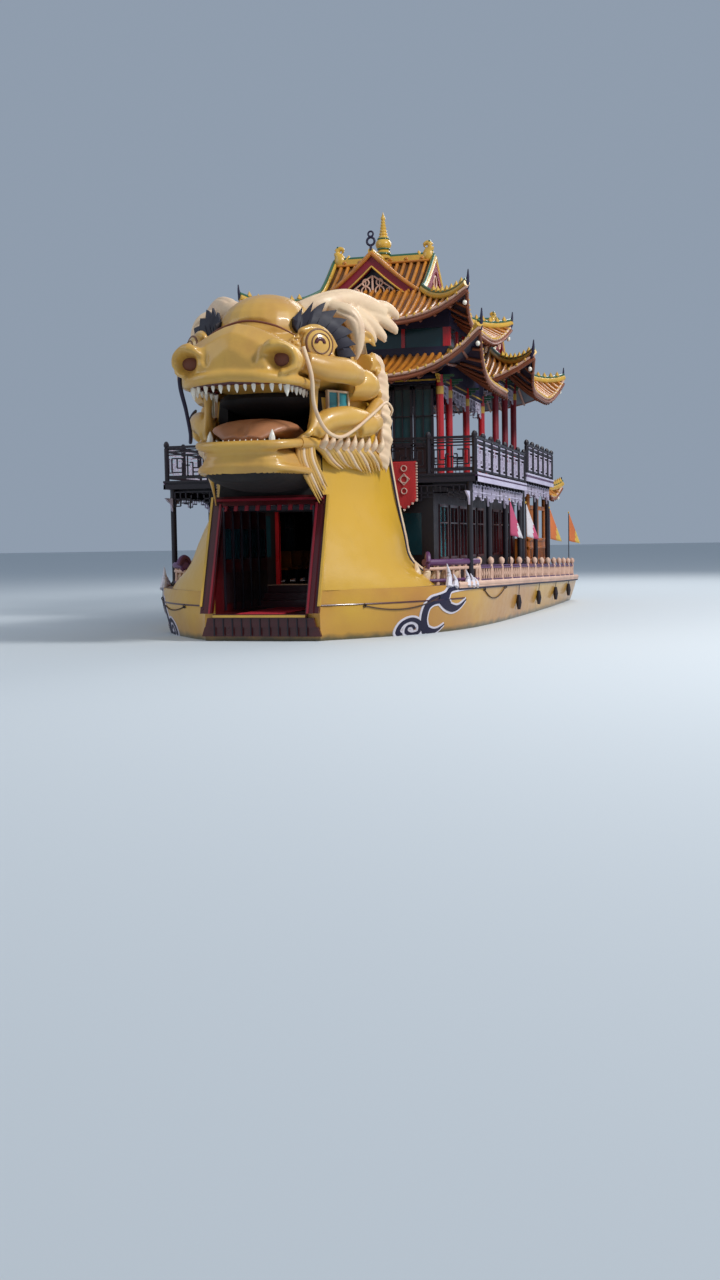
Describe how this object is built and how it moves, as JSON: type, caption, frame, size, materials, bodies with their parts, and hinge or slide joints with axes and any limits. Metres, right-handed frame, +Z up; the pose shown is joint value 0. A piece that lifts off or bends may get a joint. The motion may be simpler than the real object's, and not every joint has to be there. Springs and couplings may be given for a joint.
{
  "type": "dragon boat",
  "caption": "Passenger boat shaped as a dragon: a boarding passage through its neck, a closed saloon, an open upper deck and two tiled pavilions.",
  "frame": {"origin": "middle of the waterplane, on the centre line", "axes": "+Z up, bow towards -Y, port side +X"},
  "size_m": [11.14, 27.4574, 15.1603],
  "materials": {
    "banner_cloth": "red cloth",
    "bronze": "worn bronze",
    "carpet": "woven red pile",
    "carving_paint": "satin ochre on sheet and filler",
    "cream_paint": "satin cream",
    "dark_paint": "satin dark brown",
    "dark_red_paint": "painted crimson",
    "eye": "gloss",
    "hull_paint": "semi-gloss ochre yellow",
    "maroon_paint": "gloss maroon",
    "navy_paint": "satin near-black blue",
    "purple_paint": "satin purple",
    "rail_paint": "satin pinkish beige",
    "red_paint": "painted red",
    "ridge_tile": "glazed yellow",
    "saloon_wall": "varnished dark red",
    "screen_wood": "carved, painted orange brown",
    "tile": "glazed orange brown",
    "tongue": "gloss brownish pink",
    "tooth": "gloss white",
    "white_paint": "pale lavender white"
  },
  "bodies": {
    "boat": {"antler_port": "cream_paint", "antler_starboard": "cream_paint", "balcony_aft": "white_paint", "balcony_fore": "white_paint", "banner_port": "banner_cloth", "banner_starboard": "banner_cloth", "beard_port": "cream_paint", "beard_starboard": "cream_paint", "bow_rail_port": "purple_paint", "bow_rail_starboard": "purple_paint", "bow_sill": "maroon_paint", "brow_port": "navy_paint", "brow_starboard": "navy_paint", "carpet": "carpet", "cheek_port": "carving_paint", "cheek_starboard": "carving_paint", "colonnade_aft_port": "dark_paint", "colonnade_aft_starboard": "dark_paint", "colonnade_fore_port": "dark_paint", "colonnade_fore_starboard": "dark_paint", "deck_rail_port": "rail_paint", "deck_rail_starboard": "rail_paint", "door_frame": "maroon_paint", "eye_port": "eye", "eye_starboard": "eye", "finial": "ridge_tile", "front_gable": "dark_red_paint", "gunwale_port": "rail_paint", "gunwale_starboard": "rail_paint", "head": "carving_paint", "hull": "hull_paint", "lantern_wall": "navy_paint", "lower_jaw": "carving_paint", "lower_teeth": "tooth", "mane": "cream_paint", "neck": "hull_paint", "pavilion_aft_frame": "dark_red_paint", "pavilion_fore_frame": "red_paint", "ridge_aft": "ridge_tile", "ridge_fore": "ridge_tile", "roof_aft": "tile", "roof_fore_lower": "tile", "roof_fore_upper": "tile", "saloon_aft": "saloon_wall", "saloon_fore": "saloon_wall", "stern_roof": "tile", "stern_screen": "screen_wood", "tail": "hull_paint", "tongue": "tongue", "upper_deck_aft": "white_paint", "upper_deck_fore": "white_paint", "upper_teeth": "tooth", "whisker_port": "cream_paint", "whisker_starboard": "cream_paint"},
    "rudder_port": {"rudder_port": "bronze"},
    "rudder_starboard": {"rudder_starboard": "bronze"},
    "propeller_port": {"propeller_port": "bronze"},
    "propeller_starboard": {"propeller_starboard": "bronze"}
  },
  "joints": [
    {"name": "rudder_port_turn", "type": "hinge", "parent": "boat", "child": "rudder_port", "pos_m": [1.6, 10.45, -0.7], "axis": [0, 0, 1], "range_deg": [-35, 35]},
    {"name": "propeller_port_spin", "type": "hinge", "parent": "boat", "child": "propeller_port", "pos_m": [1.6, 9.5, -1.02], "axis": [0, 1, 0], "continuous": true},
    {"name": "rudder_starboard_turn", "type": "hinge", "parent": "boat", "child": "rudder_starboard", "pos_m": [-1.6, 10.45, -0.7], "axis": [0, 0, 1], "range_deg": [-35, 35]},
    {"name": "propeller_starboard_spin", "type": "hinge", "parent": "boat", "child": "propeller_starboard", "pos_m": [-1.6, 9.5, -1.02], "axis": [0, 1, 0], "continuous": true}
  ]
}
